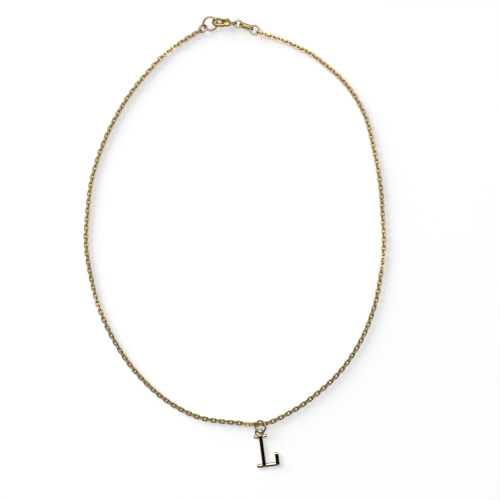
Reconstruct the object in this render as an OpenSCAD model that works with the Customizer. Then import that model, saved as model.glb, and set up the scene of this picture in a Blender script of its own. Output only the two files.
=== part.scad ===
// A fine cable chain necklace with a lobster clasp and a letter pendant, lying flat
// The surface that it lies on is z = 0, and +Y runs from the pendant towards the clasp

/* [Layout] */
// Width of the necklace as it lies
lay_w = 124.2; // [120:0.2:128]
// Length of the necklace as it lies, from the letter's foot to the clasp's ring
lay_len = 184.9; // [180:0.1:190]

/* [Chain] */
// Outer length of a chain link
link_len = 2.98; // [2.7:0.02:3.4]
// Outer width of a chain link
link_w = 2.12; // [2.0:0.02:2.3]
// Width of a link's flat wire at its two ends, where the next links pass
link_wire = 0.46; // [0.38:0.01:0.5]
// Width of a link's flat wire along its two sides
link_side = 0.56; // [0.42:0.01:0.6]
// Thickness of a link between its two flat cut faces
link_thick = 0.44; // [0.36:0.02:0.48]
// Roll of the chain's links about its axis, as it lies
link_roll = 27; // [20:1:32]
// Free play between two links along the chain
link_play = 0.29; // [0.25:0.01:0.32]
// Height of the chain's axis where a ring lifts it, at the pendant
lift_z = 1.5; // [1.4:0.02:1.7]

/* [Rings at the clasp] */
// Outer diameter of the jump ring that the clasp holds
clasp_ring_od = 6.35; // [6.0:0.05:6.8]
// Wire of the jump ring that the clasp holds
clasp_ring_wire = 0.65; // [0.5:0.05:0.7]
// Outer diameter of the left strand's end ring
left_ring_od = 3.84; // [3.6:0.02:4.2]
// Outer diameter of the ring in the clasp's tail eye
eye_ring_od = 3.64; // [3.5:0.02:4.0]
// Outer diameter of the right strand's end ring
right_ring_od = 4.44; // [4.2:0.02:4.8]
// Wire of the two end rings and of the ring in the tail eye
ring_wire = 0.6; // [0.5:0.05:0.65]
// Least clearance between two rings that hold each other
ring_gap = 0.12; // [0.1:0.01:0.2]

/* [Connector link] */
// Outer length of the long oval link
connector_len = 6.06; // [5.6:0.02:6.6]
// Outer width of the long oval link
connector_w = 2.3; // [2.2:0.02:2.5]
// Width of its wire
connector_wire = 0.5; // [0.42:0.01:0.54]
// Depth of its bars in the middle, where they swell
connector_deep = 0.9; // [0.7:0.05:1.1]

/* [Clasp] */
// Height of the clasp's own centre above the surface
clasp_z = 1.9; // [1.85:0.05:2.4]
// Roll of the clasp about its own length, as it lies
clasp_roll = -38; // [-42:1:-34]
// Radius of the hook's centre line round the nose
hook_r = 1.65; // [1.55:0.05:1.8]
// Width of the hook, seen from the side
hook_w = 1.0; // [0.8:0.05:1.1]
// Depth of the hook, across the clasp
hook_deep = 1.5; // [1.2:0.05:1.6]
// Distance from the clasp's centre to the centre of the nose
nose_x = 3.55; // [3.4:0.05:3.8]
// Half height of the body
body_r = 1.7; // [1.6:0.05:1.8]
// Length of the body
body_len = 3.9; // [3.7:0.05:4.2]
// Thickness of the body
body_thick = 2.0; // [1.8:0.05:2.2]
// Radius of the tail eye's centre line
eye_r = 0.8; // [0.75:0.05:0.95]
// Wire of the tail eye
eye_wire = 0.55; // [0.45:0.05:0.6]
// Thickness of the lever
lever_thick = 0.8; // [0.6:0.05:0.9]
// Width of the lever's arm, seen from the side
lever_w = 0.75; // [0.6:0.05:0.85]
// Radius of the hinge pin
pin_r = 0.3; // [0.25:0.05:0.35]
// Running clearance of the lever on its pin
pin_gap = 0.06; // [0.04:0.01:0.08]
// Side clearance of the lever in its slot
slot_gap = 0.12; // [0.1:0.01:0.2]

/* [Pendant] */
// Outer diameter of the jump ring that carries the letter
pendant_ring_od = 5.5; // [5.4:0.02:6.0]
// Wire of the jump ring that carries the letter
pendant_ring_wire = 0.56; // [0.5:0.02:0.6]
// Height of the letter's serif above its base, from centre line to centre line
letter_h = 12.0; // [10:0.5:14]
// Length of the letter's base past its stem
base_len = 5.6; // [5:0.2:7]
// Length of the base's end before its stem
foot_len = 2.25; // [1.8:0.05:2.6]
// Height of the upturned end of the base
upturn_h = 4.0; // [3:0.2:5]
// Half length of the serif at the top
serif_len = 2.05; // [1.8:0.05:2.4]
// Width of the stem
stem_w = 1.4; // [1.1:0.05:1.5]
// Width of the base
base_w = 1.6; // [1.2:0.05:1.7]
// Width of the serif and of the upturned end
serif_w = 1.4; // [1.1:0.05:1.5]
// Height of the bars' widest line above the letter's flat back
belly_z = 0.5; // [0.4:0.05:0.6]
// Outer diameter of the loop on top of the letter
loop_od = 3.64; // [3.5:0.02:4.0]
// Wire of the loop
loop_wire = 0.58; // [0.5:0.02:0.6]
// Height of the loop's centre above the surface
loop_z = 1.2; // [1.1:0.02:1.3]

/* [Hidden] */

gold = [0.80, 0.66, 0.40];
polished_gold = [0.87, 0.75, 0.50];

// Frames, each a matrix of a turn or a move
function turn_x(a) = [[1, 0, 0, 0], [0, cos(a), -sin(a), 0], [0, sin(a), cos(a), 0], [0, 0, 0, 1]];
function turn_y(a) = [[cos(a), 0, sin(a), 0], [0, 1, 0, 0], [-sin(a), 0, cos(a), 0], [0, 0, 0, 1]];
function turn_z(a) = [[cos(a), -sin(a), 0, 0], [sin(a), cos(a), 0, 0], [0, 0, 1, 0], [0, 0, 0, 1]];
function move_by(p) = [[1, 0, 0, p.x], [0, 1, 0, p.y], [0, 0, 1, p.z], [0, 0, 0, 1]];
function place(frame, p) = let (q = frame * [p.x, p.y, p.z, 1]) [q.x, q.y, q.z];

// Distance between the centres of two linked rings, drawn apart until they nearly touch
function drawn(r1, wire1, r2, wire2) = r1 + r2 - (wire1 + wire2) / 2 - ring_gap;

// The rings' centre lines
clasp_ring_r = (clasp_ring_od - clasp_ring_wire) / 2;
left_ring_r = (left_ring_od - ring_wire) / 2;
eye_ring_r = (eye_ring_od - ring_wire) / 2;
right_ring_r = (right_ring_od - ring_wire) / 2;
pendant_ring_r = (pendant_ring_od - pendant_ring_wire) / 2;
loop_r = (loop_od - loop_wire) / 2;
connector_r = (connector_len - connector_wire) / 2;

// The clasp lies on its side, rolled, with its nose to the left
clasp_at = [-0.03 * lay_w, lay_len / 2 - 2.55, clasp_z];
clasp_yaw = -5;
clasp_pitch = 2.5;
clasp_frame = move_by(clasp_at) * turn_z(clasp_yaw) * turn_y(clasp_pitch) * turn_x(clasp_roll);

// The hook's arc runs from its tip round the nose to the arm under the hole
tip_turn = 130;
arm_y = -hook_r;
body_x = 0.1;
body_end = body_x + body_len / 2;
tail_x = body_end + 1.5;

// The lever's pivot, its tip, and its thumb nub at the shoulder
pivot = [-0.5, 0.85];
lever_tip = [0.6 - nose_x - lever_w, hook_r + 0.1];
hub_r = 0.72;
nub = [0.8, 1.75];
nub_r = 0.42;

// The ring in the clasp crosses the hook's hole at this place
crossing = [-3.6, -0.1, 0];
clasp_ring_frame = clasp_frame * move_by(crossing) * turn_x(60) * turn_z(19)
  * move_by([-clasp_ring_r, 0, 0]);
left_slack = 0.05;
left_ring_frame = clasp_ring_frame * turn_z(200)
  * move_by([drawn(clasp_ring_r, clasp_ring_wire, left_ring_r, ring_wire) - left_ring_r - left_slack, 0, 0])
  * turn_y(-6) * move_by([left_ring_r, 0, 0]) * turn_x(52);

// To the right of the clasp come the ring in the tail eye, the long link and the end ring
corner_gap = 0.17;
connector_turn = 66;
eye_frame = clasp_frame * move_by([tail_x, 0, 0]) * turn_x(90);
eye_ring_frame = eye_frame * move_by([drawn(eye_r, eye_wire, eye_ring_r, ring_wire), 0, 0]) * turn_x(-72);
connector_frame = eye_ring_frame * turn_z(-14.5)
  * move_by([drawn(eye_ring_r, ring_wire, connector_r, connector_wire) - corner_gap, 0, 0])
  * turn_x(connector_turn);
right_slack = 0.38;
right_ring_frame = connector_frame
  * move_by([drawn(connector_r, connector_wire, right_ring_r, ring_wire) - right_ring_r - right_slack, 0, 0])
  * turn_z(-12) * move_by([right_ring_r, 0, 0]) * turn_x(-connector_turn);

// The letter leans to the left, its foot at the lower end of the layout
letter_lean = 7.3;
loop_u = -0.29;
loop_v = letter_h + serif_w / 2 - loop_wire + loop_r;
letter_at = [0.0967 * lay_w, -lay_len / 2 + foot_len * sin(letter_lean) + base_w / 2, 0];
letter_frame = move_by(letter_at) * turn_z(letter_lean);
loop_tilt = 5.5;
loop_at = place(letter_frame, [loop_u, loop_v, loop_z]);

// The chain's middle link stands on edge inside the pendant ring, which holds the letter's loop
middle_at = [loop_at.x + 0.5, loop_at.y + 3.27, lift_z];
pendant_ring_frame = move_by(middle_at + [-0.04, -1.04, 0.2]) * turn_x(0.9) * turn_y(-33.8);

// Where each strand meets its end ring, and the direction of the ring's wire there
left_join = left_ring_frame * turn_z(3) * move_by([left_ring_r, 0, 0]);
right_join = right_ring_frame * turn_z(-2) * move_by([right_ring_r, 0, 0]);
left_end = place(left_join, [0, 0, 0]);
right_end = place(right_join, [0, 0, 0]);
function wire_along(join) = place(join, [0, 1, 0]) - place(join, [0, 0, 0]);

// The route of each strand, from the middle link to its end ring
// Its chosen points are in percent of the layout's width and length
flat_z = norm([link_w, link_thick]) / 2 + 0.01;
left_shape = [[2, -40.1], [-11.7, -38.8], [-23.3, -34.7], [-33, -28.5], [-39.9, -21.7], [-44.7, -14.7],
  [-47.5, -7.7], [-49.1, -0.6], [-48.7, 6.1], [-47.5, 12.9], [-44.7, 19.6], [-40.3, 26.4], [-34.2, 33.2],
  [-26.2, 39.6], [-21.2, 42.7], [-15.7, 45.2]];
right_shape = [[14.9, -38.9], [23.3, -35.5], [33.4, -29.6], [40.7, -22.8], [45.5, -15.3], [47.9, -8],
  [49.1, -0.9], [48.7, 6.1], [47.9, 13.1], [45.9, 20.4], [42.7, 28.3], [36.2, 35.3], [26.6, 41],
  [20.9, 43.2], [14.9, 45]];
function laid(shape) = [for (p = shape) [p.x * lay_w / 100, p.y * lay_len / 100, flat_z]];
left_route = concat([middle_at + [3, 0, 0], middle_at, middle_at + [-3, 0, -0.14]], laid(left_shape),
  [left_end, place(left_join, [-6, 0, 0])]);
right_route = concat([middle_at - [3, 0, 0], middle_at, middle_at + [2.8, 0.5, -0.2]], laid(right_shape),
  [right_end, place(right_join, [-7, 0, 0])]);

// How far the links lie twisted, by their share of the strand, up to the last links at its end ring
left_twist = [[0, 0], [0.1, 4], [0.25, -4], [0.36, 3], [0.41, 16], [0.46, -4], [0.6, 4], [0.8, -5],
  [0.92, 8]];
right_twist = [[0, 0], [0.12, -4], [0.3, 5], [0.5, -5], [0.56, 10], [0.62, -4], [0.8, 4], [0.93, -5]];

// The last link of a strand stands square to the wire of its end ring
function square_roll(wire, d) = let (a = atan2(wire.x * d.y - wire.y * d.x, wire.z * norm([d.x, d.y])))
  a < 0 ? a + 180 : a;
function end_twist(route, join, roll) = let (n = len(route))
  [1, square_roll(wire_along(join), route[n - 1] - route[n - 3]) - 90 - roll];

// A smooth curve through a route's inner points
span_steps = 12;
function curve(p, u) = let (i = min(floor(u), len(p) - 4), t = u - i)
  (2 * p[i + 1] + (p[i + 2] - p[i]) * t
    + (2 * p[i] - 5 * p[i + 1] + 4 * p[i + 2] - p[i + 3]) * t ^ 2
    + (3 * p[i + 1] - p[i] - 3 * p[i + 2] + p[i + 3]) * t ^ 3) / 2;
function measured(p) = let (n = (len(p) - 3) * span_steps, q = [for (i = [0 : n]) curve(p, i / span_steps)])
  [for (i = 0, s = 0; i <= n; i = i + 1, s = s + (i <= n ? norm(q[i] - q[i - 1]) : 0)) [s, i / span_steps]];

// The strand takes an even number of links past the middle one, and its last link holds the end ring
function strand_len(table) = table[len(table) - 1][0];
end_slack = 0.09;
end_reach = (link_play - ring_wire) / 2 - ring_gap - end_slack;
drawn_pitch = link_len - 2 * link_wire - link_play;
function link_count(table) = 2 * round((strand_len(table) - end_reach) / drawn_pitch / 2 - 0.25);
function link_pitch(table) = (strand_len(table) - end_reach) / (link_count(table) + 0.5);

left_table = measured(left_route);
right_table = measured(right_route);
left_twist_all = concat(left_twist, [end_twist(left_route, left_join, -link_roll)]);
right_twist_all = concat(right_twist, [end_twist(right_route, right_join, link_roll)]);

module link() {
  hole_r = link_w / 2 - link_side;
  translate([0, 0, -link_thick / 2]) linear_extrude(link_thick) difference() {
    oval(link_len - link_w, link_w / 2);
    oval(link_len - 2 * link_wire - 2 * hole_r, hole_r);
  }
}

module oval(bar, r) {
  square([bar, 2 * r], center = true);
  for (side = [-1, 1]) translate([side * bar / 2, 0]) circle(r, $fn = 32);
}

// Links from first to last along a route, in turn nearly flat and nearly on edge
module strand(route, table, twist, roll, first) {
  n = link_count(table);
  for (i = [first : n]) {
    s = i * link_pitch(table);
    at = curve(route, lookup(s, table));
    d = curve(route, lookup(s + 0.3, table)) - curve(route, lookup(max(s - 0.3, 0), table));
    turn = (i % 2 == 0 ? 90 : 0) + roll + lookup(i / n, twist);
    translate([at.x, at.y, max(at.z, flat_z)])
      rotate([turn, -asin(d.z / norm(d)), atan2(d.y, d.x)]) link();
  }
}

module ring(r, wire) rotate_extrude($fn = 64) translate([r, 0]) circle(d = wire, $fn = 24);

module chain_left() color(gold) strand(left_route, left_table, left_twist_all, -link_roll, 1);

module chain_right() color(gold) strand(right_route, right_table, right_twist_all, link_roll, 0);

module left_end_ring() color(gold) multmatrix(left_ring_frame) ring(left_ring_r, ring_wire);

module clasp_ring() color(gold) multmatrix(clasp_ring_frame) ring(clasp_ring_r, clasp_ring_wire);

module clasp_eye_ring() color(gold) multmatrix(eye_ring_frame) ring(eye_ring_r, ring_wire);

module right_end_ring() color(gold) multmatrix(right_ring_frame) ring(right_ring_r, ring_wire);

module pendant_ring() color(gold) multmatrix(pendant_ring_frame) ring(pendant_ring_r, pendant_ring_wire);

// The long oval link, its bars deepest in the middle
module connector_link() color(gold) multmatrix(connector_frame) {
  sag = (connector_deep - connector_wire) / 2;
  swell_r = (connector_r ^ 2 + sag ^ 2) / (2 * sag);
  intersection() {
    translate([0, 0, -connector_deep / 2]) linear_extrude(connector_deep) difference() {
      oval(connector_len - connector_w, connector_w / 2);
      oval(connector_len - connector_w, connector_w / 2 - connector_wire);
    }
    for_both_faces(swell_r) rotate([90, 0, 0])
      cylinder(r = swell_r, h = 2 * connector_w, center = true, $fn = 96);
  }
}

// The overlap of a round form with its own mirror image, both sunk below the mid plane
module for_both_faces(r) intersection() {
  translate([0, 0, connector_deep / 2 - r]) children();
  translate([0, 0, r - connector_deep / 2]) children();
}

module hook_section() intersection() {
  circle(d = hook_deep, $fn = 32);
  square([hook_w, hook_deep], center = true);
}

module clasp_body() color(gold) multmatrix(clasp_frame) {
  difference() {
    union() {
      translate([-nose_x, 0, 0]) rotate([0, 0, tip_turn])
        rotate_extrude(angle = 270 - tip_turn, $fn = 48) translate([hook_r, 0]) hook_section();
      translate([-nose_x, arm_y, 0]) rotate([90, 0, 90]) linear_extrude(nose_x - body_r / 2) hook_section();
      intersection() {
        translate([body_x, 0, -body_thick / 2])
          linear_extrude(body_thick) oval(body_len - 2 * body_r, body_r);
        rotate([0, 90, 0]) cylinder(r = body_r + 0.15, h = 3 * body_len, center = true, $fn = 64);
      }
      translate([body_end - 0.25, 0, 0]) rotate([0, 90, 0])
        cylinder(h = tail_x - eye_r - body_end + 0.25, r1 = 0.85, r2 = 0.42, $fn = 32);
    }
    translate([-2.5, 0.05, -lever_thick / 2 - slot_gap]) cube([4, 3, lever_thick + 2 * slot_gap]);
  }
  translate([pivot.x, pivot.y, 0]) cylinder(r = pin_r, h = body_thick, center = true, $fn = 32);
  translate([tail_x, 0, 0]) rotate([90, 0, 0]) ring(eye_r, eye_wire);
}

module clasp_lever() color(gold) multmatrix(clasp_frame)
  translate([0, 0, -lever_thick / 2]) linear_extrude(lever_thick) difference() {
    union() {
      bar_between(pivot + [0, 0.25], lever_tip, lever_w);
      bar_between(pivot + [0, 0.2], nub, 2 * nub_r);
      translate(pivot) circle(hub_r, $fn = 32);
    }
    translate(pivot) circle(pin_r + pin_gap, $fn = 32);
  }

// A flat bar with round ends from one point to another
module bar_between(a, b, w) {
  d = b - a;
  translate(a) circle(d = w, $fn = 32);
  translate(b) circle(d = w, $fn = 32);
  translate(a) rotate(atan2(d.y, d.x)) translate([0, -w / 2]) square([norm(d), w]);
}

// A bar of the letter, a round rod between two round ends
module rod(a, b, w) {
  d = b - a;
  for (end = [a, b]) translate([end.x, end.y, belly_z]) sphere(d = w, $fn = 32);
  translate([a.x, a.y, belly_z]) rotate([0, 90, atan2(d.y, d.x)]) cylinder(d = w, h = norm(d), $fn = 32);
}

module letter_pendant() color(polished_gold) multmatrix(letter_frame) {
  intersection() {
    union() {
      rod([0, 0], [0, letter_h], stem_w);
      rod([-foot_len, 0], [base_len, 0], base_w);
      rod([base_len, 0], [base_len, upturn_h], serif_w);
      rod([-serif_len - 0.1, letter_h], [serif_len - 0.1, letter_h], serif_w);
    }
    translate([-foot_len - base_w, -base_w, 0])
      cube([base_len + foot_len + 2 * base_w, letter_h + 2 * base_w, 2 * base_w]);
  }
  translate([loop_u, loop_v, loop_z]) rotate([loop_tilt, 0, 0]) ring(loop_r, loop_wire);
}

chain_left();
chain_right();
left_end_ring();
clasp_ring();
clasp_body();
clasp_lever();
clasp_eye_ring();
connector_link();
right_end_ring();
pendant_ring();
letter_pendant();
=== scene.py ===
import math
import bisect
import bpy
import bmesh
from mathutils import Vector, Matrix


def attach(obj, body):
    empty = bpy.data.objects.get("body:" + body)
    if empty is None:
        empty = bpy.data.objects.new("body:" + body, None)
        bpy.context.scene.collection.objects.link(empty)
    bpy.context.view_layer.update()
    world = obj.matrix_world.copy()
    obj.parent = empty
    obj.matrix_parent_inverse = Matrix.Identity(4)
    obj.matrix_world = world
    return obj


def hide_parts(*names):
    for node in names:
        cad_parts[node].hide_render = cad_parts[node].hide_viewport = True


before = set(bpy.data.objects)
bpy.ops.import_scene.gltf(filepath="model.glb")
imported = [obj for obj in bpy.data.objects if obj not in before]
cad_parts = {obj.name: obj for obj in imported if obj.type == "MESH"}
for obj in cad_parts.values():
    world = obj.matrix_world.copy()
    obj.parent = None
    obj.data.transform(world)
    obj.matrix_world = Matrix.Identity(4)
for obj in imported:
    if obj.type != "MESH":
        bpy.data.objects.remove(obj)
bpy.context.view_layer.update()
mm = 0.001

# the photo's frame on the table, in mm
view = {
    "middle": (6.15, -3.15),
    "across": 205.0,
    "height": 1500.0,
}


# frames, as the part's source has them

def turnX(a):
    return Matrix.Rotation(math.radians(a), 4, "X")


def turnY(a):
    return Matrix.Rotation(math.radians(a), 4, "Y")


def turnZ(a):
    return Matrix.Rotation(math.radians(a), 4, "Z")


def moveBy(x, y=0.0, z=0.0):
    return Matrix.Translation((x, y, z))


# mesh helpers

def newObject(name, data):
    piece = bpy.data.objects.new(name, data)
    bpy.context.scene.collection.objects.link(piece)
    return piece


def meshObject(name, verts, faces, smooth=True):
    mesh = bpy.data.meshes.new(name)
    mesh.from_pydata([tuple(v) for v in verts], [], faces)
    mesh.validate()
    if smooth:
        mesh.polygons.foreach_set("use_smooth", [True] * len(mesh.polygons))
    return newObject(name, mesh)


def superRound(t, power):
    # a point of a squared-off circle
    c, s = math.cos(t), math.sin(t)
    k = (abs(c) ** power + abs(s) ** power) ** (-1 / power)
    return k * c, k * s


def closedFaces(rows, sides):
    # the faces of a ring of sections
    return [(i * sides + j, (i + 1) % rows * sides + j, (i + 1) % rows * sides + (j + 1) % sides,
             i * sides + (j + 1) % sides) for i in range(rows) for j in range(sides)]


def tubeFaces(rows, sides):
    # the faces of a row of sections, with both ends closed
    faces = [(i * sides + j, i * sides + (j + 1) % sides, (i + 1) * sides + (j + 1) % sides,
              (i + 1) * sides + j) for i in range(rows - 1) for j in range(sides)]
    faces.append(tuple(range(sides))[::-1])
    faces.append(tuple(range((rows - 1) * sides, rows * sides)))
    return faces


def faceOutward(piece):
    fixed = bmesh.new()
    fixed.from_mesh(piece.data)
    bmesh.ops.recalc_face_normals(fixed, faces=fixed.faces)
    fixed.to_mesh(piece.data)
    fixed.free()


def remeshed(piece, name, voxel):
    melt = piece.modifiers.new(name, "REMESH")
    melt.mode = "VOXEL"
    melt.voxel_size = voxel * mm


def smoothed(piece, name, rounds):
    soft = piece.modifiers.new(name, "SMOOTH")
    soft.iterations = rounds
    soft.factor = 0.5


def baked(piece):
    # the modifiers' result becomes the piece's own mesh
    graph = bpy.context.evaluated_depsgraph_get()
    mesh = bpy.data.meshes.new_from_object(piece.evaluated_get(graph))
    piece.modifiers.clear()
    piece.data = mesh
    mesh.polygons.foreach_set("use_smooth", [True] * len(mesh.polygons))
    print(piece.name, "has", len(mesh.polygons), "faces")
    return piece


# shader helpers

def socketDefault(node, name, value):
    node.inputs[name].default_value = value


def newMaterial(name):
    material = bpy.data.materials.new(name)
    material.use_nodes = True
    nodes, links = material.node_tree.nodes, material.node_tree.links
    return material, nodes, links, nodes["Principled BSDF"]


def newGroup(name, inputs, outputs):
    group = bpy.data.node_groups.new(name, "ShaderNodeTree")
    for label, kind, value in inputs:
        socket = group.interface.new_socket(name=label, in_out="INPUT", socket_type=kind)
        socket.default_value = value
    for label, kind in outputs:
        group.interface.new_socket(name=label, in_out="OUTPUT", socket_type=kind)
    entry = group.nodes.new("NodeGroupInput")
    result = group.nodes.new("NodeGroupOutput")
    return group, entry, result


# what the four golds share
alloy = {
    "patchDetail": 3, "markDetail": 6, "hollowFrom": 0.5, "hollowFull": 0.42,
    # the colour of the painted shade in hollows and joints, and the coat's roughness
    "paintedShading": (0.2, 0.085, 0.02, 1), "coatRoughness": 0.08,
}


def goldSurfaceGroup():
    # warm and cool patches of the alloy, fine rubbing marks, and painted shade in the hollows and where
    # parts meet
    group, entry, result = newGroup("goldSurface", [
        ("Gold", "NodeSocketColor", (0.8, 0.6, 0.3, 1)),
        ("Warm Gold", "NodeSocketColor", (0.8, 0.5, 0.2, 1)),
        ("Patch Size", "NodeSocketFloat", 900.0),
        ("Patch Strength", "NodeSocketFloat", 0.3),
        ("Mark Size", "NodeSocketFloat", 9000.0),
        ("Polish", "NodeSocketFloat", 0.15),
        ("Rubbing", "NodeSocketFloat", 0.1),
        ("Painted Hollow Shade", "NodeSocketFloat", 0.3),
        ("Painted Joint Shade", "NodeSocketFloat", 0.7),
    ], [("Color", "NodeSocketColor"), ("Roughness", "NodeSocketFloat"), ("Height", "NodeSocketFloat")])
    nodes, links = group.nodes, group.links
    place = nodes.new("ShaderNodeTexCoord")
    patches = nodes.new("ShaderNodeTexNoise")
    socketDefault(patches, "Detail", alloy["patchDetail"])
    links.new(place.outputs["Object"], patches.inputs["Vector"])
    links.new(entry.outputs["Patch Size"], patches.inputs["Scale"])
    strength = nodes.new("ShaderNodeMath")
    strength.operation = "MULTIPLY"
    links.new(patches.outputs["Fac"], strength.inputs[0])
    links.new(entry.outputs["Patch Strength"], strength.inputs[1])
    tint = nodes.new("ShaderNodeMix")
    tint.data_type = "RGBA"
    links.new(strength.outputs[0], tint.inputs["Factor"])
    links.new(entry.outputs["Gold"], tint.inputs["A"])
    links.new(entry.outputs["Warm Gold"], tint.inputs["B"])
    # painted shade in the hollows: the more sunken the surface, the darker
    hollow = nodes.new("ShaderNodeNewGeometry")
    deep = nodes.new("ShaderNodeMapRange")
    socketDefault(deep, "From Min", alloy["hollowFrom"])
    socketDefault(deep, "From Max", alloy["hollowFull"])
    links.new(hollow.outputs["Pointiness"], deep.inputs["Value"])
    paintedShading = nodes.new("ShaderNodeMath")
    paintedShading.operation = "MULTIPLY"
    links.new(deep.outputs["Result"], paintedShading.inputs[0])
    links.new(entry.outputs["Painted Hollow Shade"], paintedShading.inputs[1])
    # painted shade where parts meet, as each piece's points hold it, added to the hollows' painted shade
    meeting = nodes.new("ShaderNodeAttribute")
    meeting.attribute_name = "paintedShade"
    held = nodes.new("ShaderNodeMath")
    held.operation = "MULTIPLY_ADD"
    held.use_clamp = True
    links.new(meeting.outputs["Fac"], held.inputs[0])
    links.new(entry.outputs["Painted Joint Shade"], held.inputs[1])
    links.new(paintedShading.outputs[0], held.inputs[2])
    # the gold darkened towards the painted shade's colour
    dim = nodes.new("ShaderNodeMix")
    dim.data_type = "RGBA"
    socketDefault(dim, "B", alloy["paintedShading"])
    links.new(held.outputs[0], dim.inputs["Factor"])
    links.new(tint.outputs["Result"], dim.inputs["A"])
    marks = nodes.new("ShaderNodeTexNoise")
    socketDefault(marks, "Detail", alloy["markDetail"])
    links.new(place.outputs["Object"], marks.inputs["Vector"])
    links.new(entry.outputs["Mark Size"], marks.inputs["Scale"])
    rub = nodes.new("ShaderNodeMath")
    rub.operation = "MULTIPLY_ADD"
    links.new(marks.outputs["Fac"], rub.inputs[0])
    links.new(entry.outputs["Rubbing"], rub.inputs[1])
    links.new(entry.outputs["Polish"], rub.inputs[2])
    links.new(dim.outputs["Result"], result.inputs["Color"])
    links.new(rub.outputs[0], result.inputs["Roughness"])
    links.new(marks.outputs["Fac"], result.inputs["Height"])
    return group


goldSurface = goldSurfaceGroup()


def goldMaterial(name, look):
    material, nodes, links, shader = newMaterial(name)
    socketDefault(shader, "Metallic", look["metal"])
    socketDefault(shader, "Coat Weight", look["coat"])
    socketDefault(shader, "Coat Roughness", alloy["coatRoughness"])
    socketDefault(shader, "Specular Tint", look["edge"])
    surface = nodes.new("ShaderNodeGroup")
    surface.node_tree = goldSurface
    for label, value in look["surface"].items():
        socketDefault(surface, label, value)
    links.new(surface.outputs["Color"], shader.inputs["Base Color"])
    links.new(surface.outputs["Roughness"], shader.inputs["Roughness"])
    bump = nodes.new("ShaderNodeBump")
    socketDefault(bump, "Strength", look["bump"])
    socketDefault(bump, "Distance", look["bumpDepth"] * mm)
    links.new(surface.outputs["Height"], bump.inputs["Height"])
    links.new(bump.outputs["Normal"], shader.inputs["Normal"])
    return material


# each gold's colours, patches and marks, its painted shade, its bump, and how it mirrors
golds = {
    "chain": {
        "surface": {"Gold": (0.84, 0.665, 0.32, 1), "Warm Gold": (0.63, 0.415, 0.15, 1),
                    "Patch Size": 500.0, "Patch Strength": 0.6, "Mark Size": 9000.0,
                    "Polish": 0.13, "Rubbing": 0.11, "Painted Hollow Shade": 0.4},
        "bump": 0.12, "bumpDepth": 0.01, "coat": 0.0, "metal": 0.96, "edge": (0.28, 0.18, 0.07, 1),
    },
    "ring": {
        "surface": {"Gold": (0.66, 0.50, 0.26, 1), "Warm Gold": (0.49, 0.32, 0.135, 1),
                    "Patch Size": 450.0, "Patch Strength": 0.5, "Mark Size": 8000.0,
                    "Polish": 0.11, "Rubbing": 0.1, "Painted Hollow Shade": 0.3},
        "bump": 0.1, "bumpDepth": 0.01, "coat": 0.0, "metal": 0.97, "edge": (0.22, 0.13, 0.05, 1),
    },
    "clasp": {
        "surface": {"Gold": (0.70, 0.49, 0.19, 1), "Warm Gold": (0.56, 0.35, 0.11, 1),
                    "Patch Size": 700.0, "Patch Strength": 0.5, "Mark Size": 5000.0,
                    "Polish": 0.2, "Rubbing": 0.14, "Painted Hollow Shade": 0.5},
        "bump": 0.25, "bumpDepth": 0.02, "coat": 0.05, "metal": 0.95, "edge": (0.3, 0.2, 0.08, 1),
    },
    "letter": {
        "surface": {"Gold": (0.92, 0.78, 0.50, 1), "Warm Gold": (0.86, 0.66, 0.34, 1),
                    "Patch Size": 300.0, "Patch Strength": 0.25, "Mark Size": 6000.0,
                    "Polish": 0.02, "Rubbing": 0.03, "Painted Hollow Shade": 0.1},
        "bump": 0.02, "bumpDepth": 0.004, "coat": 0.1, "metal": 1.0, "edge": (0.55, 0.42, 0.25, 1),
    },
}
chainGold = goldMaterial("chainGold", golds["chain"])
ringGold = goldMaterial("ringGold", golds["ring"])
claspGold = goldMaterial("claspGold", golds["clasp"])
letterGold = goldMaterial("letterGold", golds["letter"])
print("gold materials made")


# the clasp's place on the table, and the rings and the connector out from it, in mm and degrees

clasp = {
    "at": (-3.726, 89.9, 1.9), "yaw": -5, "pitch": 2.5, "roll": -38,
    "crossing": (-3.6, -0.1, 0), "tailX": 3.55,
}
rings = {
    "gap": 0.12, "wire": 0.6, "plump": 0.17, "sides": 20, "steps": 120,
    # the seam, and the painted shade on each wire's inner side
    "seam": 0.5, "seamEnd": 0.95, "innerPaintedShade": 0.75,
    "claspOd": 6.35, "claspWire": 0.65, "claspTilt": 60, "claspTurn": 19, "claspSeamAt": 75,
    "leftOd": 3.84, "leftAt": 200, "leftSlack": 0.05, "leftDip": -6, "leftTilt": 52, "leftSeamAt": 250,
    "eyeOd": 3.64, "eyeTilt": -72, "eyeSeamAt": 90,
    "rightOd": 4.44, "rightSlack": 0.38, "rightTurn": -12, "rightSeamAt": 100,
    "pendantOd": 5.5, "pendantWire": 0.56, "pendantShift": (-0.04, -1.04, 0.2),
    "pendantLean": 0.9, "pendantTilt": -33.8, "pendantSeamAt": 60,
    "tailEyeR": 0.8, "tailEyeWire": 0.55,
}
connector = {
    # its sizes, and the painted shade on its bars' inner sides
    "len": 6.06, "width": 2.3, "wire": 0.5, "deep": 1.3, "plump": 0.16, "square": 2.8, "innerPaintedShade": 1.0,
    "swing": -14.5, "slack": 0.17, "turn": 66, "sides": 20, "steps": 72, "barRows": 16,
}

claspFrame = moveBy(*clasp["at"]) @ turnZ(clasp["yaw"]) @ turnY(clasp["pitch"]) @ turnX(clasp["roll"])


def drawn(r1, wire1, r2, wire2):
    # how far apart two linked rings' middles are when they are pulled apart
    return r1 + r2 - (wire1 + wire2) / 2 - rings["gap"]


claspRingR = (rings["claspOd"] - rings["claspWire"]) / 2
leftR = (rings["leftOd"] - rings["wire"]) / 2
eyeR = (rings["eyeOd"] - rings["wire"]) / 2
rightR = (rings["rightOd"] - rings["wire"]) / 2
pendantR = (rings["pendantOd"] - rings["pendantWire"]) / 2
connectorR = (connector["len"] - connector["wire"]) / 2

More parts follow.
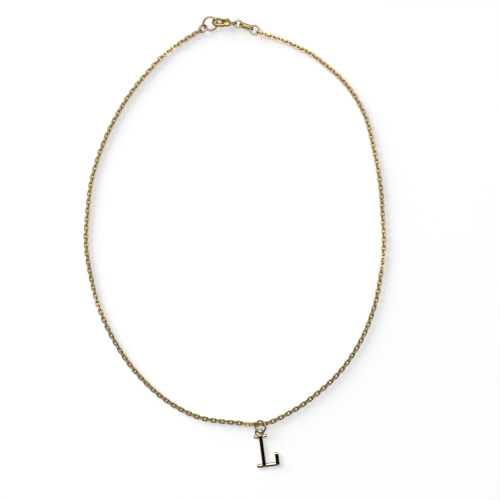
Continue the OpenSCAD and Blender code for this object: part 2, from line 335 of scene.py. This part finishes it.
claspRingFrame = (claspFrame @ moveBy(*clasp["crossing"]) @ turnX(rings["claspTilt"])
                  @ turnZ(rings["claspTurn"]) @ moveBy(-claspRingR))
leftReach = drawn(claspRingR, rings["claspWire"], leftR, rings["wire"]) - leftR - rings["leftSlack"]
leftRingFrame = (claspRingFrame @ turnZ(rings["leftAt"]) @ moveBy(leftReach)
                 @ turnY(rings["leftDip"]) @ moveBy(leftR) @ turnX(rings["leftTilt"]))
eyeReach = drawn(rings["tailEyeR"], rings["tailEyeWire"], eyeR, rings["wire"])
eyeRingFrame = (claspFrame @ moveBy(clasp["tailX"]) @ turnX(90)
                @ moveBy(eyeReach) @ turnX(rings["eyeTilt"]))
connectorReach = drawn(eyeR, rings["wire"], connectorR, connector["wire"]) - connector["slack"]
connectorFrame = (eyeRingFrame @ turnZ(connector["swing"]) @ moveBy(connectorReach)
                  @ turnX(connector["turn"]))
rightReach = drawn(connectorR, connector["wire"], rightR, rings["wire"]) - rightR - rings["rightSlack"]
rightRingFrame = (connectorFrame @ moveBy(rightReach) @ turnZ(rings["rightTurn"])
                  @ moveBy(rightR) @ turnX(-connector["turn"]))

# the letter's own sizes and where it hangs, in mm and degrees
letter = {
    "height": 12.0, "base": 5.6, "foot": 2.25, "upturn": 4.0, "serif": 2.05, "serifOff": 0.1,
    "stemW": 1.4, "baseW": 1.6, "serifW": 1.4, "belly": 0.5, "rootV": -0.08,
    "loopOd": 3.64, "loopWire": 0.58, "loopU": -0.29, "loopZ": 1.2, "loopTilt": 5.5,
    "lean": 7.3, "fromMiddle": 0.0967, "toChain": (0.5, 3.27),
    "flatStem": 9.0, "flatBase": 2.4, "crest": 0.32, "stemTall": 0.8, "baseTall": 0.62,
    "plump": 0.1, "fuller": 0.12, "sides": 40, "rows": 12, "endReach": 0.999, "endSize": 0.02,
    "voxel": 0.046, "smoothing": 6,
}
layout = {"width": 124.2, "len": 184.9, "liftZ": 1.5}
loopR = (letter["loopOd"] - letter["loopWire"]) / 2
loopV = letter["height"] + letter["serifW"] / 2 - letter["loopWire"] + loopR
letterAt = (letter["fromMiddle"] * layout["width"], -layout["len"] / 2
            + letter["foot"] * math.sin(math.radians(letter["lean"])) + letter["baseW"] / 2)
letterFrame = moveBy(*letterAt) @ turnZ(letter["lean"])
loopAt = letterFrame @ Vector((letter["loopU"], loopV, letter["loopZ"]))
middleAt = Vector((loopAt.x + letter["toChain"][0], loopAt.y + letter["toChain"][1], layout["liftZ"]))
pendantRingFrame = (Matrix.Translation(middleAt + Vector(rings["pendantShift"]))
                    @ turnX(rings["pendantLean"]) @ turnY(rings["pendantTilt"]))


# the chain: its link, its two routes in hundredths of the loop's width and length, and how it twists

chain = {
    "linkLen": 2.98, "linkW": 2.12, "wire": 0.46, "side": 0.56, "thick": 0.44, "roll": 27.0, "play": 0.29,
    "endSlack": 0.09, "overTable": 0.01, "lookAhead": 0.3, "spanSteps": 12,
    "plump": 0.07, "sides": 20, "steps": 30, "square": 5.0,
    # painted shade at the links' ends: where it begins, how fast it grows, its mean strength and how much
    # more the inner side gets
    "paintedShadeFrom": 0.45, "paintedShadeRise": 1.7, "paintedShadeMean": 0.55, "paintedShadeInner": 0.45,
    "leftStart": [(3, 0, 0), (0, 0, 0), (-3, 0, -0.14)],
    "leftShape": [(2, -40.1), (-11.7, -38.8), (-23.3, -34.7), (-33, -28.5), (-39.9, -21.7), (-44.7, -14.7),
                  (-47.5, -7.7), (-49.1, -0.6), (-48.7, 6.1), (-47.5, 12.9), (-44.7, 19.6), (-40.3, 26.4),
                  (-34.2, 33.2), (-26.2, 39.6), (-21.2, 42.7), (-15.7, 45.2)],
    "leftJoinTurn": 3, "leftBeyond": -6,
    "rightStart": [(-3, 0, 0), (0, 0, 0), (2.8, 0.5, -0.2)],
    "rightShape": [(14.9, -38.9), (23.3, -35.5), (33.4, -29.6), (40.7, -22.8), (45.5, -15.3), (47.9, -8),
                   (49.1, -0.9), (48.7, 6.1), (47.9, 13.1), (45.9, 20.4), (42.7, 28.3), (36.2, 35.3),
                   (26.6, 41), (20.9, 43.2), (14.9, 45)],
    "rightJoinTurn": -2, "rightBeyond": -7,
    "leftTwist": [(0, 0), (0.1, 4), (0.25, -4), (0.36, 3), (0.41, 16), (0.46, -4), (0.6, 4), (0.8, -5),
                  (0.92, 8)],
    "rightTwist": [(0, 0), (0.12, -4), (0.3, 5), (0.5, -5), (0.56, 10), (0.62, -4), (0.8, 4), (0.93, -5)],
    # single links that lie flatter: their number in the strand and their turn
    "turnedLeft": {3: 20, 115: 2, 117: -3}, "turnedRight": {49: 4, 51: -3, 111: 3, 115: -2},
}
flatZ = math.hypot(chain["linkW"], chain["thick"]) / 2 + chain["overTable"]
leftJoin = leftRingFrame @ turnZ(chain["leftJoinTurn"]) @ moveBy(leftR)
rightJoin = rightRingFrame @ turnZ(chain["rightJoinTurn"]) @ moveBy(rightR)


def byMiddle(offsets):
    return [middleAt + Vector(offset) for offset in offsets]


def laid(shape):
    return [Vector((x * layout["width"] / 100, y * layout["len"] / 100, flatZ)) for x, y in shape]


def spot(matrix, x=0.0, y=0.0, z=0.0):
    return matrix @ Vector((x, y, z))


leftRoute = (byMiddle(chain["leftStart"]) + laid(chain["leftShape"])
             + [spot(leftJoin), spot(leftJoin, chain["leftBeyond"])])
rightRoute = (byMiddle(chain["rightStart"]) + laid(chain["rightShape"])
              + [spot(rightJoin), spot(rightJoin, chain["rightBeyond"])])


def curvePoint(p, u):
    # a smooth curve through the points
    i = min(int(u), len(p) - 4)
    t = u - i
    return (2 * p[i + 1] + (p[i + 2] - p[i]) * t
            + (2 * p[i] - 5 * p[i + 1] + 4 * p[i + 2] - p[i + 3]) * t ** 2
            + (3 * p[i + 1] - p[i] - 3 * p[i + 2] + p[i + 3]) * t ** 3) / 2


def lookUp(x, table):
    # reads a table of pairs, straight between its rows
    keys = [row[0] for row in table]
    i = min(max(bisect.bisect_right(keys, x) - 1, 0), len(table) - 2)
    (x0, y0), (x1, y1) = table[i], table[i + 1]
    t = min(max((x - x0) / (x1 - x0), 0), 1)
    return y0 + t * (y1 - y0)


def measured(p):
    # the length along the route at each step
    steps = (len(p) - 3) * chain["spanSteps"]
    table, length, before = [], 0.0, None
    for i in range(steps + 1):
        q = curvePoint(p, i / chain["spanSteps"])
        length += (q - before).length if before else 0.0
        before = q
        table.append((length, i / chain["spanSteps"]))
    return table


def endTwist(route, join, roll):
    # the twist that lets the last link hang on its ring's wire
    wire = spot(join, 0, 1) - spot(join)
    d = route[-1] - route[-3]
    a = math.degrees(math.atan2(wire.x * d.y - wire.y * d.x, wire.z * math.hypot(d.x, d.y)))
    return (a + 180 if a < 0 else a) - 90 - roll


def linkFrames(route, twist, join, roll, first, turned):
    # where each link lies, in turn nearly flat and nearly on edge
    table = measured(route)
    bends = twist + [(1, endTwist(route, join, roll))]
    endReach = (chain["play"] - rings["wire"]) / 2 - rings["gap"] - chain["endSlack"]
    span = table[-1][0] - endReach
    inside = chain["linkLen"] - 2 * chain["wire"] - chain["play"]
    count = 2 * math.floor(span / inside / 2 - 0.25 + 0.5)  # an even count, and half a pitch over
    pitch = span / (count + 0.5)
    found = []
    for i in range(first, count + 1):
        s = i * pitch
        at = curvePoint(route, lookUp(s, table))
        d = (curvePoint(route, lookUp(s + chain["lookAhead"], table))
             - curvePoint(route, lookUp(max(s - chain["lookAhead"], 0), table)))
        turn = (90 if i % 2 == 0 else 0) + roll + lookUp(i / count, bends)
        turn = turned.get(i, turn)
        found.append(moveBy(at.x, at.y, max(at.z, flatZ)) @ turnZ(math.degrees(math.atan2(d.y, d.x)))
                     @ turnY(-math.degrees(math.asin(d.z / d.length))) @ turnX(turn))
    return found


def linkMesh():
    # an oval of flat wire, wider along its sides than at its ends, its cut faces slightly crowned
    n, steps = chain["sides"], chain["steps"]
    outer = chain["linkW"] / 2
    inner = outer - chain["side"] - chain["plump"]
    outerHalf = chain["linkLen"] / 2 - outer
    innerHalf = chain["linkLen"] / 2 - chain["wire"] - chain["plump"] - inner
    thick = chain["thick"] + chain["plump"]
    paintedShadeStart = chain["paintedShadeFrom"] * innerHalf
    verts, paintedShade = [], []
    for i in range(steps):
        a = 2 * math.pi * (i + 0.5) / steps
        end = 1 if math.cos(a) > 0 else -1
        out = Vector((math.cos(a), math.sin(a), 0))
        far = Vector((end * outerHalf, 0, 0)) + out * outer
        near = Vector((end * innerHalf, 0, 0)) + out * inner
        for j in range(n):
            c, s = superRound(2 * math.pi * (j + 0.5) / n, chain["square"])
            p = (far + near) / 2 + (far - near) / 2 * c
            verts.append(p + Vector((0, 0, s * thick / 2)))
            # painted shade at the link's ends, where the next links pass through, strongest on the inner
            # side
            reach = min(max((abs(p.x) - paintedShadeStart) / (outerHalf + outer - paintedShadeStart), 0), 1)
            paintedShade.append(min(1.0, chain["paintedShadeRise"] * reach)
                         * (chain["paintedShadeMean"] - chain["paintedShadeInner"] * c))
    return verts, closedFaces(steps, n), paintedShade


def setPaintedShade(piece, amounts):
    # how much painted shade each point of a piece holds
    paintedShading = piece.data.attributes.new("paintedShade", "FLOAT", "POINT")
    paintedShading.data.foreach_set("value", amounts)


def strand(name, node, frames):
    linkVerts, linkFaces, linkPaintedShade = linkMesh()
    verts, faces = [], []
    for place in frames:
        base = len(verts)
        verts += [(place @ v) * mm for v in linkVerts]
        faces += [tuple(base + k for k in f) for f in linkFaces]
    piece = meshObject(name, verts, faces)
    setPaintedShade(piece, linkPaintedShade * len(frames))
    piece.data.materials.append(chainGold)
    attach(piece, "necklace")
    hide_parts(node)


leftFrames = linkFrames(leftRoute, chain["leftTwist"], leftJoin, -chain["roll"], 1, chain["turnedLeft"])
rightFrames = linkFrames(rightRoute, chain["rightTwist"], rightJoin, chain["roll"], 0, chain["turnedRight"])
strand("chainLeft", "chain_left", leftFrames)
strand("chainRight", "chain_right", rightFrames)
print("chain made,", len(leftFrames), "and", len(rightFrames), "links")


# the jump rings, each a round of wire whose ends meet at a fine seam

def ringPiece(name, node, place, r, wire, seamAt):
    verts, faces, paintedShade = [], [], []
    n, steps = rings["sides"], rings["steps"]
    seam = rings["seam"]
    for i in range(steps + 1):
        a = math.radians(seamAt + seam / 2 + (360 - seam) * i / steps)
        scale = rings["seamEnd"] if i in (0, steps) else 1.0
        out = Vector((math.cos(a), math.sin(a), 0))
        for j in range(n):
            b = 2 * math.pi * j / n
            reach = scale * (wire + rings["plump"]) / 2
            p = out * (r + reach * math.cos(b)) + Vector((0, 0, reach * math.sin(b)))
            verts.append((place @ p) * mm)
            # painted shade on the wire's inner side
            paintedShade.append(rings["innerPaintedShade"] * max(0.0, -math.cos(b)))
    for i in range(steps):
        for j in range(n):
            faces.append((i * n + j, (i + 1) * n + j, (i + 1) * n + (j + 1) % n, i * n + (j + 1) % n))
    faces.append(tuple(range(n)))
    faces.append(tuple(range(steps * n, steps * n + n))[::-1])
    piece = meshObject(name, verts, faces)
    setPaintedShade(piece, paintedShade)
    piece.data.materials.append(ringGold)
    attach(piece, "necklace")
    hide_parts(node)


ringPiece("claspRing", "clasp_ring", claspRingFrame, claspRingR, rings["claspWire"], rings["claspSeamAt"])
ringPiece("leftEndRing", "left_end_ring", leftRingFrame, leftR, rings["wire"], rings["leftSeamAt"])
ringPiece("claspEyeRing", "clasp_eye_ring", eyeRingFrame, eyeR, rings["wire"], rings["eyeSeamAt"])
ringPiece("rightEndRing", "right_end_ring", rightRingFrame, rightR, rings["wire"], rings["rightSeamAt"])
ringPiece("pendantRing", "pendant_ring", pendantRingFrame, pendantR, rings["pendantWire"],
          rings["pendantSeamAt"])
print("rings made")


# the long oval link, its two bars deepest in the middle like leaves

def connectorPiece():
    n, steps = connector["sides"], connector["steps"]
    r = (connector["width"] - connector["wire"]) / 2
    half = (connector["len"] - connector["width"]) / 2
    sag = (connector["deep"] - connector["wire"]) / 2
    path = []
    for i in range(steps):
        a = 2 * math.pi * (i + 0.5) / steps
        out = Vector((math.cos(a), math.sin(a), 0))
        centre = Vector((half if math.cos(a) > 0 else -half, 0, 0))
        path.append((centre + out * r, out))
    # more rows along the straight bars
    rows = []
    for k, (p, out) in enumerate(path):
        q, qOut = path[(k + 1) % steps]
        rows.append((p, out))
        if (p - q).length > 1:
            for t in range(1, connector["barRows"]):
                rows.append((p.lerp(q, t / connector["barRows"]),
                             out.lerp(qOut, t / connector["barRows"]).normalized()))
    swellR = (connectorR ** 2 + sag ** 2) / (2 * sag)
    verts, paintedShade = [], []
    for p, out in rows:
        along = min(abs(p.x), connectorR)
        deep = 2 * (math.sqrt(swellR ** 2 - along ** 2) - swellR) + connector["deep"]
        for j in range(n):
            c, s = superRound(2 * math.pi * (j + 0.5) / n, connector["square"])
            v = p + out * (c * (connector["wire"] + connector["plump"]) / 2) + Vector((0, 0, s * deep / 2))
            verts.append((connectorFrame @ v) * mm)
            # painted shade on the bars' inner sides, where they face each other
            paintedShade.append(connector["innerPaintedShade"] * max(0.0, -c))
    piece = meshObject("connectorLink", verts, closedFaces(len(rows), n))
    setPaintedShade(piece, paintedShade)
    piece.data.materials.append(claspGold)
    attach(piece, "necklace")
    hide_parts("connector_link")


connectorPiece()
print("connector made")


# forms that a casting is put together from, each a closed shell in its own frame, in mm

def sweptShell(rows, sides, power=2.0):
    # rows hold a place, the two directions of the section and its two half sizes
    verts = []
    for place, side, up, halfSide, halfUp in rows:
        for j in range(sides):
            u, v = superRound(2 * math.pi * (j + 0.5) / sides, power)
            verts.append(place + side * (u * halfSide) + up * (v * halfUp))
    return verts, tubeFaces(len(rows), sides)


def roundedEnds(rows, reach, steps=8, nearly=0.985):
    # closes a sweep with a dome at each end, whose last row is small but not a point
    def dome(row, sign, along):
        place, side, up, halfSide, halfUp = row
        extra = []
        for k in range(1, steps + 1):
            a = math.pi / 2 * k / steps * nearly
            extra.append((place + along * (sign * reach * math.sin(a)), side, up,
                          halfSide * math.cos(a), halfUp * math.cos(a)))
        return extra

    first = (rows[1][0] - rows[0][0]).normalized()
    last = (rows[-1][0] - rows[-2][0]).normalized()
    return dome(rows[0], -1, first)[::-1] + rows + dome(rows[-1], 1, last)


def torusShell(place, r, wire, steps=64, sides=20):
    verts = []
    for i in range(steps):
        a = 2 * math.pi * i / steps
        out = Vector((math.cos(a), math.sin(a), 0))
        for j in range(sides):
            b = 2 * math.pi * j / sides
            p = out * (r + wire / 2 * math.cos(b)) + Vector((0, 0, wire / 2 * math.sin(b)))
            verts.append(place @ p)
    return verts, closedFaces(steps, sides)


def markPaintedShade(piece, frameOf, amount):
    # amount gives the painted shade at a point of the piece's own frame
    back = frameOf.inverted()
    setPaintedShade(piece, [amount(back @ (v.co / mm)) for v in piece.data.vertices])


def joinedCasting(name, frameOf, shells, voxel, rounds, cutter=None):
    # one piece of metal from overlapping shells, its joints filled and softened by the polishing
    verts, faces = [], []
    for shellVerts, shellFaces in shells:
        base = len(verts)
        verts += [(frameOf @ v) * mm for v in shellVerts]
        faces += [tuple(base + k for k in f) for f in shellFaces]
    piece = meshObject(name, verts, faces)
    faceOutward(piece)
    remeshed(piece, "oneCasting", voxel)
    if cutter:
        cut = piece.modifiers.new("slot", "BOOLEAN")
        cut.operation = "DIFFERENCE"
        cut.object = cutter
        remeshed(piece, "slotEdges", voxel)
    smoothed(piece, "polished", rounds)
    return baked(piece)


# the clasp's body: the hook, the crowned body, the neck and the tail eye, with the lever's slot

body = {
    "noseX": 3.55, "hookR": 1.65, "tipTurn": 130, "tipWide": 0.86, "tipDeep": 1.2, "hookEnd": 0.3,
    "hookWide": 1.12, "hookDeep": 1.5, "hookGrow": 1.8, "hookRows": 26, "hookSides": 32, "hookSquare": 3.4,
    "armWide": 1.2, "armStop": 0.6, "armRise": 0.35, "armDeepen": 0.08, "armRows": 8,
    "x": 0.1, "halfLen": 1.98, "halfHigh": 1.72, "halfThick": 1.02, "crown": 2.5, "nearly": 0.996,
    "rows": 40, "sides": 48,
    "neckFrom": 1.7, "neckR": 0.82, "neckEndR": 0.4, "neckStop": 0.75, "neckRows": 8, "neckSides": 24,
    "pivot": (-0.5, 0.85), "pinR": 0.3, "pinInset": 0.02, "pinSides": 24,
    "slotFrom": (-2.5, 0.05), "slotTo": (1.5, 3.05), "slotHalf": 0.52,
    # painted shade inside the hook and round the tail eye: where it reaches and how it fades
    "paintedShadeHookR": 1.5, "paintedShadeHookFade": 0.35, "paintedShadeArmEnd": -1.5,
    "paintedShadeEyeFrom": 2.3, "paintedShadeEyeR": 1.15, "paintedShadeEyeFade": 0.3, "paintedShadeEyeShare": 0.8,
    "voxel": 0.055, "smoothing": 6, "pinVoxel": 0.04, "pinSmoothing": 3,
}


def hookShell():
    # from the tip round the nose, then along the arm into the body
    rows = []
    across = Vector((0, 0, 1))
    for i in range(body["hookRows"] + 1):
        t = i / body["hookRows"]
        a = math.radians(body["tipTurn"] + (270 - body["tipTurn"]) * t)
        out = Vector((math.cos(a), math.sin(a), 0))
        grow = min(1.0, t * body["hookGrow"])
        rows.append((Vector((-body["noseX"], 0, 0)) + out * body["hookR"], out, across,
                     (body["tipWide"] + (body["hookWide"] - body["tipWide"]) * grow) / 2,
                     (body["tipDeep"] + (body["hookDeep"] - body["tipDeep"]) * grow) / 2))
    reach = body["noseX"] - body["armStop"]
    for i in range(1, body["armRows"] + 1):
        t = i / body["armRows"]
        at = Vector((-body["noseX"] + reach * t, -body["hookR"] + body["armRise"] * t * t, 0))
        rows.append((at, Vector((0, -1, 0)), across,
                     (body["hookWide"] + (body["armWide"] - body["hookWide"]) * t) / 2,
                     body["hookDeep"] / 2 * (1 + body["armDeepen"] * t)))
    return sweptShell(roundedEnds(rows, body["hookEnd"]), body["hookSides"], body["hookSquare"])


def bodyShell():
    # a pillow: an oval outline whose faces are crowned
    rows = []
    for i in range(body["rows"] + 1):
        a = math.pi * (i / body["rows"] - 0.5) * body["nearly"]
        size, along = superRound(a, body["crown"])
        at = Vector((body["x"] + body["halfLen"] * along, 0, 0))
        rows.append((at, Vector((0, 1, 0)), Vector((0, 0, 1)),
                     body["halfHigh"] * size, body["halfThick"] * size))
    return sweptShell(rows, body["sides"], body["crown"])


def neckShell():
    # tapers from the body to the tail eye
    rows = []
    reach = clasp["tailX"] - body["neckStop"] - body["neckFrom"]
    for i in range(body["neckRows"] + 1):
        t = i / body["neckRows"]
        r = body["neckR"] + (body["neckEndR"] - body["neckR"]) * math.sin(math.pi / 2 * t)
        at = Vector((body["neckFrom"] + reach * t, 0, 0))
        rows.append((at, Vector((0, 1, 0)), Vector((0, 0, 1)), r, r))
    return sweptShell(rows, body["neckSides"])


def pinShell():
    x, y = body["pivot"]
    ends = body["halfThick"] - body["pinInset"]
    rows = [(Vector((x, y, ends * t)), Vector((1, 0, 0)), Vector((0, 1, 0)), body["pinR"], body["pinR"])
            for t in (-1, -0.5, 0, 0.5, 1)]
    return sweptShell(rows, body["pinSides"])


def slotCutter():
    (fromX, fromY), (toX, toY), half = body["slotFrom"], body["slotTo"], body["slotHalf"]
    corners = [(x, y, z) for x in (fromX, toX) for y in (fromY, toY) for z in (-half, half)]
    faces = [(0, 1, 3, 2), (4, 6, 7, 5), (0, 4, 5, 1), (2, 3, 7, 6), (0, 2, 6, 4), (1, 5, 7, 3)]
    box = meshObject("slotCutter", [(claspFrame @ Vector(c)) * mm for c in corners], faces, smooth=False)
    faceOutward(box)
    return box


slotBox = slotCutter()
tailEye = torusShell(moveBy(clasp["tailX"]) @ turnX(90), rings["tailEyeR"], rings["tailEyeWire"])
claspBody = joinedCasting("claspBody", claspFrame, [hookShell(), bodyShell(), neckShell(), tailEye],
                          body["voxel"], body["smoothing"], slotBox)
bpy.data.objects.remove(slotBox, do_unlink=True)


def hookPaintedShade(p):
    # painted shade inside the hook and between its arms, and round the tail eye
    near = min(max(p.x, -body["noseX"]), body["paintedShadeArmEnd"])
    inHook = (body["paintedShadeHookR"] - math.hypot(p.x - near, p.y)) / body["paintedShadeHookFade"]
    inEye = 0
    if p.x > body["paintedShadeEyeFrom"]:
        inEye = body["paintedShadeEyeShare"] * (body["paintedShadeEyeR"] - abs(p.x - clasp["tailX"])) / body["paintedShadeEyeFade"]
    return min(max(inHook, inEye, 0), 1)


# painted shade inside the hook and round the tail eye
markPaintedShade(claspBody, claspFrame, hookPaintedShade)
claspBody.data.materials.append(claspGold)
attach(claspBody, "necklace")
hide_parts("clasp_body")
hingePin = joinedCasting("hingePin", claspFrame, [pinShell()], body["pinVoxel"], body["pinSmoothing"])
hingePin.data.materials.append(claspGold)
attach(hingePin, "necklace")


# the lever keeps its flat cut sides, with its edges rounded off

lever = {"voxel": 0.032, "smoothing": 16}


def softenedCopy(name, node, voxel, rounds):
    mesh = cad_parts[node].data.copy()
    mesh.name = name
    mesh.materials.clear()
    piece = newObject(name, mesh)
    remeshed(piece, "fineMesh", voxel)
    smoothed(piece, "tumbled", rounds)
    return baked(piece)


claspLever = softenedCopy("claspLever", "clasp_lever", lever["voxel"], lever["smoothing"])
claspLever.data.materials.append(claspGold)
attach(claspLever, "clasp_lever")
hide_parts("clasp_lever")


# the letter: bars with a flat back and a polished front, joined in the casting, and its soldered loop

def barShell(start, end, width, tall, power, crest=0.0):
    # a bar with rounded ends, flat below and squared-off above its widest line
    sides, rows = letter["sides"], letter["rows"]
    first = Vector((start[0], start[1], 0))
    along = Vector((end[0], end[1], 0)) - first
    length = along.length
    along.normalize()
    side = Vector((-along.y, along.x, 0))
    half = width / 2
    # each station holds a place along the bar and the share of the section's full size
    stations = []
    for k in range(rows + 1):
        a = math.pi / 2 * (1 - k / rows)
        stations.append((-half * math.sin(a) * letter["endReach"], math.cos(a)))
    for k in range(1, rows):
        stations.append((length * k / rows, 1.0))
    for k in range(rows + 1):
        a = math.pi / 2 * k / rows
        stations.append((length + half * math.sin(a) * letter["endReach"], math.cos(a)))
    verts = []
    for s, size in stations:
        size = max(size, letter["endSize"])
        centre = first + along * s
        for j in range(sides):
            t = 2 * math.pi * (j + 0.5) / sides
            u, v = superRound(t, power if math.sin(t) > 0 else 2.0)
            z = letter["belly"] + v * (tall * size if math.sin(t) > 0 else half)
            lean = crest * max(v, 0) * half * size
            verts.append(centre + side * (u * half * size - lean) + Vector((0, 0, max(z, 0.0))))
    return verts, tubeFaces(len(stations), sides)


def letterShells():
    high, base, foot, root = letter["height"], letter["base"], letter["foot"], letter["rootV"]
    serifFrom, serifTo = -letter["serif"] - letter["serifOff"], letter["serif"] - letter["serifOff"]
    upright = (letter["stemTall"], letter["flatStem"])
    lying = (letter["baseTall"], letter["flatBase"], letter["crest"])
    loopPlace = moveBy(letter["loopU"], loopV, letter["loopZ"]) @ turnX(letter["loopTilt"])
    return [
        barShell((0, root), (0, high), letter["stemW"] + letter["fuller"], *upright),
        barShell((-foot, 0), (base, 0), letter["baseW"], *lying),
        barShell((base, root), (base, letter["upturn"]), letter["serifW"] + letter["fuller"], *upright),
        barShell((serifFrom, high), (serifTo, high), letter["serifW"], *lying),
        torusShell(loopPlace, loopR, letter["loopWire"] + letter["plump"]),
    ]


letterPiece = joinedCasting("letterPendant", letterFrame, letterShells(),
                            letter["voxel"], letter["smoothing"])
letterPiece.data.materials.append(letterGold)
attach(letterPiece, "necklace")
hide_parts("letter_pendant")
print("clasp and letter made")


# the table and the light

studio = {
    "floorSize": 3.0, "floorColor": (0.685, 0.685, 0.685, 1), "floorInMetal": (0.3, 0.3, 0.3, 1),
    "floorGlow": 0.54, "floorGlowColor": (1, 1, 1, 1), "floorRoughness": 0.9, "floorShine": 0.1,
    "keyEnergy": 140.0, "keySize": 2.42, "keyAt": (-2.26, 1.7, 1.08),
    # the room's brightness by height, then its shares towards each side and the directions they span
    "horizon": 0.19, "zenith": 1.6, "domeFrom": 0.3,
    "nearShare": 0.68, "nearSpan": (-0.6, 0.15), "farShare": 1.9, "farSpan": (0.2, 0.85),
    "leftShare": 0.74, "rightShare": 1.25, "sideSpan": (-0.7, 0.7),
    "overhead": 1.8, "overheadFrom": 0.965, "onTable": 0.15, "backdrop": 0.88,
    "cardHigh": 0.15, "cardWide": 0.9, "cardEdge": -0.065, "cardDeep": 0.2,
    "cardColor": (0.001, 0.001, 0.001, 1), "clipEnd": 20,
}


def tablePiece():
    half = studio["floorSize"] / 2
    floor = meshObject("table", [(-half, -half, 0), (half, -half, 0), (half, half, 0), (-half, half, 0)],
                       [(0, 1, 2, 3)], smooth=False)
    material, nodes, links, shader = newMaterial("tableWhite")
    socketDefault(shader, "Roughness", studio["floorRoughness"])
    socketDefault(shader, "Specular IOR Level", studio["floorShine"])
    # the metal mirrors a darker table than the camera sees
    path = nodes.new("ShaderNodeLightPath")
    for label, seen in (("Base Color", studio["floorColor"]), ("Emission Color", studio["floorGlowColor"])):
        pick = nodes.new("ShaderNodeMix")
        pick.data_type = "RGBA"
        socketDefault(pick, "A", seen)
        socketDefault(pick, "B", studio["floorInMetal"])
        links.new(path.outputs["Is Glossy Ray"], pick.inputs["Factor"])
        links.new(pick.outputs["Result"], shader.inputs[label])
    socketDefault(shader, "Emission Strength", studio["floorGlow"])
    floor.data.materials.append(material)


def keyLight():
    light = bpy.data.lights.new("keyLight", "AREA")
    light.energy = studio["keyEnergy"]
    light.shape = "DISK"
    light.size = studio["keySize"]
    lamp = newObject("keyLight", light)
    lamp.location = studio["keyAt"]
    lamp.rotation_euler = (-Vector(studio["keyAt"])).to_track_quat("-Z", "Y").to_euler()
    lamp.visible_glossy = False  # a lamp behind a diffuser: it lights and shades the table, with no glare


def roomLight():
    # a pale room, brighter overhead and beyond the clasp than on the photographer's side
    world = bpy.data.worlds.new("room")
    bpy.context.scene.world = world
    world.use_nodes = True
    nodes, links = world.node_tree.nodes, world.node_tree.links
    back = nodes["Background"]
    place = nodes.new("ShaderNodeTexCoord")
    split = nodes.new("ShaderNodeSeparateXYZ")
    links.new(place.outputs["Generated"], split.inputs[0])
    x, y, z = split.outputs["X"], split.outputs["Y"], split.outputs["Z"]

    def ramp(source, low, high, start, finish):
        node = nodes.new("ShaderNodeMapRange")
        node.interpolation_type = "SMOOTHSTEP"
        socketDefault(node, "From Min", low)
        socketDefault(node, "From Max", high)
        socketDefault(node, "To Min", start)
        socketDefault(node, "To Max", finish)
        links.new(source, node.inputs["Value"])
        return node.outputs["Result"]

    def product(one, other):
        node = nodes.new("ShaderNodeMath")
        node.operation = "MULTIPLY"
        links.new(one, node.inputs[0])
        links.new(other, node.inputs[1])
        return node.outputs[0]

    dome = ramp(z, studio["domeFrom"], 1.0, studio["horizon"], studio["zenith"])
    dome = product(dome, ramp(y, *studio["nearSpan"], studio["nearShare"], 1.0))
    dome = product(dome, ramp(y, *studio["farSpan"], 1.0, studio["farShare"]))
    dome = product(dome, ramp(x, *studio["sideSpan"], studio["leftShare"], studio["rightShare"]))
    # the softbox itself, straight above: what lies flat flashes in it
    dome = product(dome, ramp(z, studio["overheadFrom"], 1.0, 1.0, studio["overhead"]))
    # little of the room's light falls on the table, so that the lamp's shadows show
    path = nodes.new("ShaderNodeLightPath")
    dome = product(dome, ramp(path.outputs["Is Diffuse Ray"], 0.0, 1.0, 1.0, studio["onTable"]))
    # seen past the table's edge, in low views, the room is an even pale backdrop
    seen = nodes.new("ShaderNodeMix")
    socketDefault(seen, "B", studio["backdrop"])
    links.new(path.outputs["Is Camera Ray"], seen.inputs["Factor"])
    links.new(dome, seen.inputs["A"])
    links.new(seen.outputs["Result"], back.inputs["Strength"])
    socketDefault(back, "Color", (1, 1, 1, 1))


def darkCard():
    # what the photographer holds over the pendant: only the polished metal sees it
    half, edge = studio["cardWide"] / 2, studio["cardEdge"]
    far, high = edge - studio["cardDeep"], studio["cardHigh"]
    corners = [(-half, far, high), (half, far, high), (half, edge, high), (-half, edge, high)]
    card = meshObject("darkCard", corners, [(0, 1, 2, 3)], smooth=False)
    material, _, _, shader = newMaterial("cardBlack")
    socketDefault(shader, "Base Color", studio["cardColor"])
    socketDefault(shader, "Roughness", 1.0)
    socketDefault(shader, "Specular IOR Level", 0.0)
    card.data.materials.append(material)
    card.visible_camera = False
    card.visible_diffuse = False
    card.visible_shadow = False


def photoCamera():
    camera = bpy.data.cameras.new("photoCamera")
    camera.angle = 2 * math.atan(view["across"] / 2 / view["height"])
    eye = newObject("photoCamera", camera)
    eye.location = (view["middle"][0] * mm, view["middle"][1] * mm, view["height"] * mm)
    camera.clip_end = studio["clipEnd"]
    bpy.context.scene.camera = eye


tablePiece()
keyLight()
roomLight()
darkCard()
photoCamera()
bpy.context.scene.view_settings.view_transform = "Standard"
print("table, light and camera made")

bpy.context.view_layer.update()
